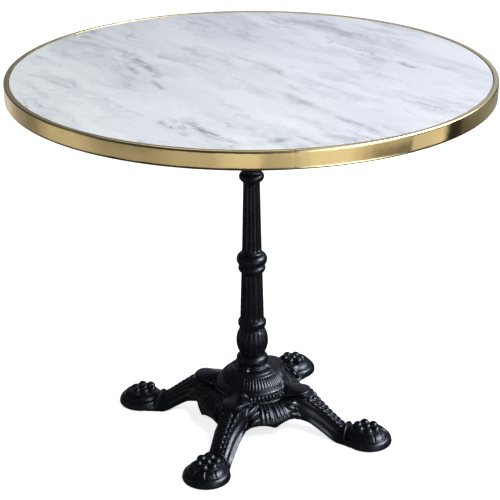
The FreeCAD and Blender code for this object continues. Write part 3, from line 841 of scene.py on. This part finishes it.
def hub_piece():
    """Domed hub with four rolled-edge shoulders, a beaded ring and gadroons."""
    z0 = float(MATING_Z)
    top = float(box_mm("base_hub")[1][2])
    seat = top - SPIGOT_LENGTH
    step = 0.8
    clay = Clay((-126, -126, z0 - 4), (126, 126, top + 3), step)
    outline = profile(
        (75.5, z0 - 8), (75.5, z0 + 1.5), ((74.4, z0 + 3.8), (72.5, z0 + 5.2)), (71.0, z0 + 8.5),
        ((70.6, z0 + 12.5), (66.5, z0 + 15.5)), ((58, z0 + 28.6), (44.5, z0 + 37.6)),
        ((43.4, z0 + 42.2), (38.0, z0 + 43.4)), ((30.6, z0 + 46.2), (28.3, z0 + 51)),
        ((31.4, z0 + 59.5), (23.4, seat)), (SPIGOT_RADIUS, seat), (SPIGOT_RADIUS, top), (0, top),
        (0, z0 + 26), (20, z0 + 20), (34, z0 + 26), ((52, z0 + 17), (62, z0)), (62, z0 - 8))
    clay.add(turned_shape(outline))
    # gadroons on the dome
    def gadroons(x, y, z):
        r = np.sqrt(x * x + y * y)
        angle = np.arctan2(y, x)
        rib = np.sqrt(np.clip(1 - (((angle * BEADS / TAU) % 1.0) * 2 - 1)**2 * 0.96, 0, 1))
        return 1.5 * (rib - 0.55) * window(r, 49.5, 64.0, 2.2) * window(z, z0 + 12, z0 + 38, 3)
    clay.raise_by(gadroons)
    # turned fillets round the dome
    for radius, up, thick in ((46.3, 36.4, 1.9), (67.2, 15.0, 1.7), (30.2, 47.6, 1.2)):
        z, reach = z0 + up, radius + 4
        clay.add(hoop(radius, z, thick), 0.8, (-reach, -reach, z - 4), (reach, reach, z + 4))
    # pearls on the lowest ring
    for i in range(BEADS):
        clay.ball(polar(73.6, 360.0 * i / BEADS, z0 + 5.0), 3.5, 0.4)
    # root of each leg, up to the lip of the shoulder
    def roots(x, y, z):
        u, v = leg_axes(x, y)
        return even(smooth_max(arched(u, v, z, z0 - 1, ROOT_TOP(u), 25.0), 70 - u, 2.0), step)
    clay.add(roots, 2.5)
    # smooth shoulders that flare out of the dome, each with a rolled edge
    def shoulders(x, y, z):
        u, v = leg_axes(x, y)
        half, lip, slim = SHOULDER_HALF(u), SHOULDER_LIP(u), SHOULDER_CREST(u)
        tip = np.sqrt(np.clip(u - SHOULDER_TIP + TIP_RADIUS, 0, None)**2 + v * v) - TIP_RADIUS
        ridge = arched(u, v, z, lip, SHOULDER_RIDGE(u), slim)
        crest = smooth_max(ridge, tip - slim + TIP_RADIUS, 3.0)
        flare = smooth_max(arched(u, v, z, lip, lip + 5.0, half), tip - half + TIP_RADIUS, 2.0)
        return even(smooth_max(smooth_min(crest, flare, 5.0), lip - z, 1.5), step)
    clay.add(shoulders, 2.5)
    edge = [(u, float(SHOULDER_HALF(u)) - 0.8) for u in (66, 72, 79, 86, 92, 98)]
    centre, tip = SHOULDER_TIP - TIP_RADIUS, TIP_RADIUS - 0.8
    edge += [(centre + tip * sin(t), tip * cos(t)) for t in (0.35, 0.7, 1.05, 1.35)]
    edge += [(centre + tip, 0.0)] + [(u, -v) for u, v in reversed(edge)]
    for turn in LEG_TURNS.values():
        c, s = cos(radians(turn)), sin(radians(turn))
        path = [(u * c - v * s, u * s + v * c, float(SHOULDER_LIP(u)) + 1.7) for u, v in edge]
        clay.cord(path, (1.0, 1.7, 2.0, 2.1, 2.0, 1.7, 1.0), 1.4)
    clay.cut(lambda x, y, z: z - z0)
    clay.cut(upright(0, 0, BORE_RADIUS, z0 - 5, top + 5))
    piece = clay.object("hub_domed", IRON)
    finish_piece(piece, "black_iron", "base_hub")


# -------------------- legs
SECTOR = radians(44.85)
ARCH_RADIUS = 48.6
ARCH_AZIMUTH = radians(29.5)
FLANGE = 10.0
BOLT_X, BOLT_Y, BOLT_HOLE = 90.0, 10.0, 4.4

LOWER_EDGE = eased((
    (78, 58), (98, 46), (110, 41), (122, 39), (128, 37.5), (138, 31.5), (156, 19), (172, 7),
    (183, 2), (215, 2)), 2.5)
RIDGE_LINE = eased((
    (78, 100), (110, 97), (118, 91), (124, 84.5), (133, 75.5), (150, 63), (163, 52), (176, 42),
    (187, 33.5), (193, 31), (204, 32), (215, 34)), 3.0)
HALF_LOW = eased((
    (78, 28), (110, 31), (130, 30.5), (150, 28.5), (176, 27), (188, 29), (200, 32.5), (215, 36)), 4)
HALF_TOP = eased((
    (78, 26), (98, 26), (112, 23.5), (124, 18), (138, 12), (152, 9.5), (176, 9), (188, 10),
    (200, 14), (215, 18)), 4)

CRESCENTS = (      # (radius, degrees, height) along the back of each roll on the skirt
    ((81.5, 27, 79.0), (90, 22, 77.0), (99, 17.5, 73.5), (106, 14.0, 69.0)),
    ((94, 27, 71.0), (101, 21.5, 67.5), (107, 17, 61.5)),
    ((104, 27, 60.0), (108.5, 21.5, 55.5), (112, 17, 49.0)))
SHELL_RIB = ((82, 79.0), (90, 75.0), (99, 68.0), (106, 58.0), (108, 40.0))
TOE_GROOVE = ((27, 30.5), (31, 28.5), (36, 23.5), (38.5, 20.5))
KNUCKLE_X, KNUCKLE_RING, KNUCKLE_RADIUS = FOOT_X - 4, 17.6, 9.3
POCKET_INNER, POCKET_OUTER, POCKET_HALF = 52, 104, 19
PAD_POCKET, STUD_POCKET = 17.0, 4.5


def blade(step):
    """The leg between skirt and foot, with hollow fluted sides."""
    def shape(x, y, z):
        low, high, wide, narrow = LOWER_EDGE(x), RIDGE_LINE(x), HALF_LOW(x), HALF_TOP(x)
        v = np.abs(y)
        crown = high - 0.35 * narrow
        t = np.clip((z - low) / np.maximum(crown - low, 4), 0, 1)
        lean = 1 - (1 - t)**1.7
        fluted = window(x, 122, 178, 16) * window(t, 0.22, 0.95, 0.12)
        side = v - (wide + (narrow - wide) * lean + 0.6 * np.cos(TAU * (2.6 * t - 0.1)) * fluted)
        over = z - (high - 0.35 * narrow * np.clip(v / narrow, 0, 1.6)**2)
        body = smooth_max(side, over, 3.0)
        body = smooth_max(body, low - z, 3.0)
        body = np.maximum(body, np.maximum(76 - x, x - 214))
        return even(body, step)
    return shape


def leg_clay():
    """One leg casting along +X: skirt sector, arched leg and knuckled foot."""
    z0 = float(MATING_Z)
    low, tip = FOOT_BASE, float(LEG_HIGH[0])
    step = 0.85
    clay = Clay((42, -82, low - 3), (tip + 3, 82, z0 + 4), step)
    skirt = profile(
        (62.5, z0 + 6), (77, z0 + 6), (77, z0 - 0.5), ((77.6, z0 - 3.4), (80.5, z0 - 4.4)),
        ((97, z0 - 13), (107.2, z0 - 26)), ((109.2, z0 - 30), (109.8, z0 - 34)), (109.8, 41),
        (104, 41), (104, 52), ((92, 66), (82, z0 - FLANGE)), (62.5, z0 - FLANGE))
    clay.add(turned_shape(skirt))
    # three crescents at each side of the leg, and shell ribs between them and the corner
    for side in (-1, 1):
        for crescent in CRESCENTS:
            path = [polar(r, side * turn, z) for r, turn, z in crescent]
            clay.cord(path, (3.0, 5.2, 5.4, 3.0), 1.2)
        for turn in (31.5, 36.2, 40.8):
            path = [polar(r, side * turn, z) for r, z in SHELL_RIB]
            clay.cord(path, (0.5, 1.4, 2.0, 1.8, 1.2), 3.0)
    for side in (-1, 1):
        c, s = cos(ARCH_AZIMUTH), side * sin(ARCH_AZIMUTH)

        def arch(x, y, z):
            across = -x * s + y * c
            return np.maximum(np.sqrt(across**2 + z**2) - ARCH_RADIUS, 70 - x * c - y * s)
        clay.cut(arch, 1.5)
    clay.add(blade(step), 6.0, (74, -40, low), (216, 40, z0))
    foot = profile(
        (0, low), (40.5, low), ((43.9, low + 1.6), (45.0, low + 8.5)),
        ((43.6, low + 13.8), (40.2, low + 17.6)), (38.7, low + 18.6),
        ((37.2, low + 19.4), (36.4, low + 21.2)), ((28.0, low + 28.6), (16, low + 31.2)),
        (0, low + 32.4), arc=12)
    clay.add(turned_shape(foot, FOOT_X), 5.0, (FOOT_X - 50, -50, low), (FOOT_X + 50, 50, 50))
    # one knuckle in the middle and six round it, and grooves down the toes
    clay.ball((KNUCKLE_X, 0, 34.0), (9.2, 9.2, 9.0), 0.5)
    for i in range(6):
        x, y, _ = polar(KNUCKLE_RING, 60 * i, 0)
        clay.ball((KNUCKLE_X + x, y, 32.4 - 1.6 * x / KNUCKLE_RING), KNUCKLE_RADIUS, 0.5)
    for turn in (-52, -19, 19, 52):
        run = [polar(r, turn, z) for r, z in TOE_GROOVE]
        path = [(FOOT_X + x, y, z) for x, y, z in run]
        clay.cord(path, (1.2, 1.7, 1.5, 0.6), 1.2, cut=True)
    # overlapping scales down the ridge
    for i in range(8):
        u = 121 + 8.6 * i
        rise = float(RIDGE_LINE(u) - RIDGE_LINE(u + 4)) / 4
        pitch = degrees(atan(rise)) - 14
        size = 1 - 0.035 * i
        clay.ball((u, 0, float(RIDGE_LINE(u)) + 0.1), (7.4 * size, 8.6 * size, 3.2), 1.2, pitch)
        half, level = 0.62 * float(HALF_TOP(u)) + 3.0, float(RIDGE_LINE(u + 4)) - 3.2
        for side in (-1, 1):
            clay.ball((u + 4.0, side * half, level), (6.6 * size, 4.4, 2.4), 2.2, pitch, side * 8)
    # cuff round the ankle
    turns = [radians(a) for a in range(-80, 81, 20)]
    cuff = [(200 - 3 * cos(a), 27.5 * sin(a), 6 + 28.0 * cos(a)) for a in turns]
    clay.cord(cuff, (2.0, 2.8, 3.2, 2.8, 2.0), 2.2)
    # rivet boss on the skirt
    clay.ball(polar(96.5, 37, 72.5), 3.4, 0.8)
    # faces that meet the neighbours
    clay.cut(lambda x, y, z: z0 - z)
    clay.cut(lambda x, y, z: x * sin(SECTOR) - np.abs(y) * cos(SECTOR))
    clay.cut(lambda x, y, z: z - low)
    # hollow under the bolts, their holes, and the glide's pocket in the foot
    def hollow(x, y, z):
        along = np.maximum(POCKET_INNER - x, x - POCKET_OUTER)
        return np.maximum(along, np.maximum(np.abs(y) - POCKET_HALF, z - (z0 - FLANGE)))
    clay.cut(hollow, 1.5, (POCKET_INNER, -POCKET_HALF, low),
             (POCKET_OUTER, POCKET_HALF, z0 - FLANGE))
    for side in (-1, 1):
        hole = upright(BOLT_X, side * BOLT_Y, BOLT_HOLE, 0, z0 + 5)
        clay.cut(hole, 0, (80, -20, 60), (100, 20, z0))
    for radius, up in ((PAD_POCKET, 7.5), (STUD_POCKET, 32.5)):
        reach, top = radius + 1.5, low + up
        clay.cut(upright(FOOT_X, 0, radius, -5, top), 0,
                 (FOOT_X - reach, -reach, low), (FOOT_X + reach, reach, top + 0.5))
    return clay


def leg_pieces():
    """The same casting four times round the column."""
    first = leg_clay().object("leg_cast_right", IRON)
    for side, turn in LEG_TURNS.items():
        if side == "right":
            piece = first
        else:
            piece = new_object("leg_cast_" + side, first.data.copy())
            piece.data.transform(Matrix.Rotation(radians(turn), 4, "Z"))
        finish_piece(piece, "black_iron", "leg_" + side)


# -------------------- stage, light and camera
def staged_mesh(name, points, faces, mat):
    """Mesh round the table, in metres, that isn't part of it."""
    mesh = bpy.data.meshes.new(name)
    mesh.from_pydata(points, [], faces)
    mesh.materials.append(mat)
    obj = new_object(name, mesh)
    return obj


def area_light(name, location, target, size, power):
    data = bpy.data.lights.new(name, "AREA")
    data.shape = "RECTANGLE"
    data.size, data.size_y = size
    data.energy = power
    data.color = COOL_LAMP
    obj = new_object(name, data)
    obj.location = location
    towards = Vector(target) - Vector(location)
    obj.rotation_euler = towards.to_track_quat("-Z", "Y").to_euler()
    return obj


def mix_shader(tree, factor, a, b):
    return add(tree, "MixShader", {0: factor, 1: a, 2: b}).outputs[0]


REFLECTOR_RADIUS, REFLECTOR_LOW, REFLECTOR_HIGH = 2.6, -1.2, 3.2
BRIGHTEST = 20.0
WHITE, COOL, COOL_LAMP = (1.0, 1.0, 1.0), (0.72, 0.82, 1.0), (0.92, 0.95, 1.0)
# hundredths of brightness on the wall that only reflections see, at degrees from +X:
# (degrees, ankle, hem, low, waist, high)
SURROUNDINGS = (
    (0.9, 30, 22, 55, 20, 2000), (1.9, 30, 6, 12, 20, 2000), (2.9, 10, 62, 66, 10, 2000),
    (20, 5, 85, 77, 5, 2000), (24, 3, 3, 4.5, 4, 1800), (31, 3, 3, 4.5, 4, 1400),
    (34, 3, 10, 13, 4, 1000), (48, 3, 18, 25, 4, 200), (66, 3, 30, 24, 4, 40),
    (84, 3, 30, 20, 4, 70), (106, 50, 50, 50, 30, 50), (122, 50, 50, 50, 30, 28),
    (150, 3, 64, 60, 4, 20), (168, 3, 30, 30, 4, 10), (181, 3, 22, 22, 4, 10),
    (196, 3, 52, 54, 6, 10), (212, 10, 56, 52, 30, 10), (226, 3, 36, 32, 8, 10),
    (247, 3, 36, 28, 4, 10), (262, 3, 50, 48, 4, 10), (276, 4, 50, 52, 4, 10),
    (284, 5, 74, 78, 5, 20), (293, 6, 74, 76, 8, 25), (297, 10, 46, 46, 10, 30),
    (307, 20, 56, 62, 20, 40), (318, 250, 84, 88, 250, 80), (332, 450, 85, 86, 400, 250),
    (344, 300, 32, 58, 250, 800), (356, 60, 20, 52, 50, 1800))
# where the wall goes over to the next column of the table: (column, tint, from z, to z) in metres
WALL_BANDS = ((1, COOL, -0.52, -0.44), (2, WHITE, -0.28, -0.20), (3, WHITE, -0.06, 0.02),
              (4, COOL, 0.12, 0.20), (5, COOL, 0.95, 1.15))
WALL_FOOT = 0.04
WALL_SIDES = 96


def surroundings():
    """Wall of soft reflectors round the table, seen only in reflections."""
    n = WALL_SIDES
    points = [polar(REFLECTOR_RADIUS, 360 * i / n, z)
              for z in (REFLECTOR_LOW, REFLECTOR_HIGH) for i in range(n)]
    faces = [(i, (i + 1) % n, n + (i + 1) % n, n + i) for i in range(n)]
    mat = bpy.data.materials.new("reflector_wall")
    mat.use_nodes = True
    tree = mat.node_tree
    tree.nodes.clear()
    at = add(tree, "SeparateXYZ", {"Vector": place(tree)}).outputs
    turn = math_node(tree, "DIVIDE", math_node(tree, "ARCTAN2", at["Y"], at["X"]), TAU)
    turn = math_node(tree, "FRACT", plus(tree, turn, 1.0))
    shade = grey(WALL_FOOT / BRIGHTEST)
    for column, tint, start, end in WALL_BANDS:
        stops = [(row[0] / 360, tuple(row[column] / 100 / BRIGHTEST * c for c in tint))
                 for row in SURROUNDINGS]
        above = spread_to(tree, at["Z"], start, end)
        shade = blend_colour(tree, above, shade, ramp(tree, turn, stops))
    glow = add(tree, "Emission", {"Color": shade, "Strength": BRIGHTEST})
    out = add(tree, "OutputMaterial")
    tree.links.new(glow.outputs[0], out.inputs["Surface"])
    obj = staged_mesh("reflector_wall", points, faces, mat)
    obj.visible_camera = obj.visible_diffuse = False
    obj.visible_shadow = obj.visible_transmission = False


FLOOR_HALF = 14.0
FLOOR_GLOW = 0.85
ROOM_LIGHT, ROOM_MIRRORED = 0.38, 0.06


def floor_piece():
    """Pale floor that glows a little, and is clear when seen from under."""
    mat, tree, _ = new_material("floor_pale", Roughness=0.9, Base_Color=grey(0.9),
                                Emission_Color=grey(0.9), Emission_Strength=FLOOR_GLOW)
    surface = tree.nodes["Material Output"].inputs["Surface"]
    lit_side = surface.links[0].from_socket
    clear = add(tree, "BsdfTransparent").outputs[0]
    under = add(tree, "NewGeometry").outputs["Backfacing"]
    tree.links.new(mix_shader(tree, under, lit_side, clear), surface)
    h = FLOOR_HALF
    corners = [(-h, -h, 0), (h, -h, 0), (h, h, 0), (-h, h, 0)]
    staged_mesh("floor", corners, [(0, 1, 2, 3)], mat).visible_glossy = False


def room():
    """World that is white to the camera, soft on the table and dim in its reflections."""
    world = bpy.data.worlds.new("room")
    bpy.context.scene.world = world
    world.use_nodes = True
    tree = world.node_tree
    tree.nodes.clear()

    def background(colour, strength):
        inputs = {"Color": (*colour, 1.0), "Strength": strength}
        return add(tree, "Background", inputs).outputs[0]

    ray = add(tree, "LightPath").outputs
    some = mix_shader(tree, ray["Is Glossy Ray"], background((0.95, 0.96, 1.0), ROOM_LIGHT),
                      background((0.9, 0.93, 1.0), ROOM_MIRRORED))
    both = mix_shader(tree, ray["Is Camera Ray"], some, background(WHITE, 1.0))
    out = add(tree, "OutputWorld")
    tree.links.new(both, out.inputs["Surface"])


def stage():
    """Pale floor, light room and soft lamps."""
    bpy.context.scene.view_settings.view_transform = "Standard"
    floor_piece()
    room()
    key = area_light("key", (1.7, -1.9, 2.4), (0.0, 0.0, 0.2), (0.4, 0.4), 55)
    key.visible_glossy = False
    area_light("top", (-0.3, 0.6, 3.1), (0.0, 0.0, 0.7), (2.2, 2.2), 23)
    area_light("side", (2.4, 0.2, 1.5), (0.0, 0.0, 0.15), (0.3, 0.7), 26)


CAMERA_PLACE = (1.0552, -2.7458, 1.5824)
CAMERA_YAW, CAMERA_PITCH, CAMERA_ROLL = -21.09, 22.374, -0.27     # degrees
CAMERA_LENS, CAMERA_SENSOR = 119.85, 36.0                         # mm


def camera():
    """Camera in front of the table, a little to its right, looking down on it."""
    yaw, pitch, roll = (radians(a) for a in (CAMERA_YAW, CAMERA_PITCH, CAMERA_ROLL))
    ahead = cos(pitch)
    forward = Vector((sin(yaw) * ahead, cos(yaw) * ahead, -sin(pitch)))
    level = Vector((cos(yaw), -sin(yaw), 0))
    right = level * cos(roll) + level.cross(forward) * sin(roll)
    data = bpy.data.cameras.new("camera")
    data.lens = CAMERA_LENS
    data.sensor_width = CAMERA_SENSOR
    obj = new_object("camera", data)
    turn = Matrix((right, right.cross(forward), -forward)).transposed().to_4x4()
    obj.matrix_world = Matrix.Translation(CAMERA_PLACE) @ turn
    bpy.context.scene.camera = obj


dress_nodes()
finish_piece(rim_piece(), "brass", "brass_rim")
column_pieces()
hub_piece()
leg_pieces()
stage()
surroundings()
camera()
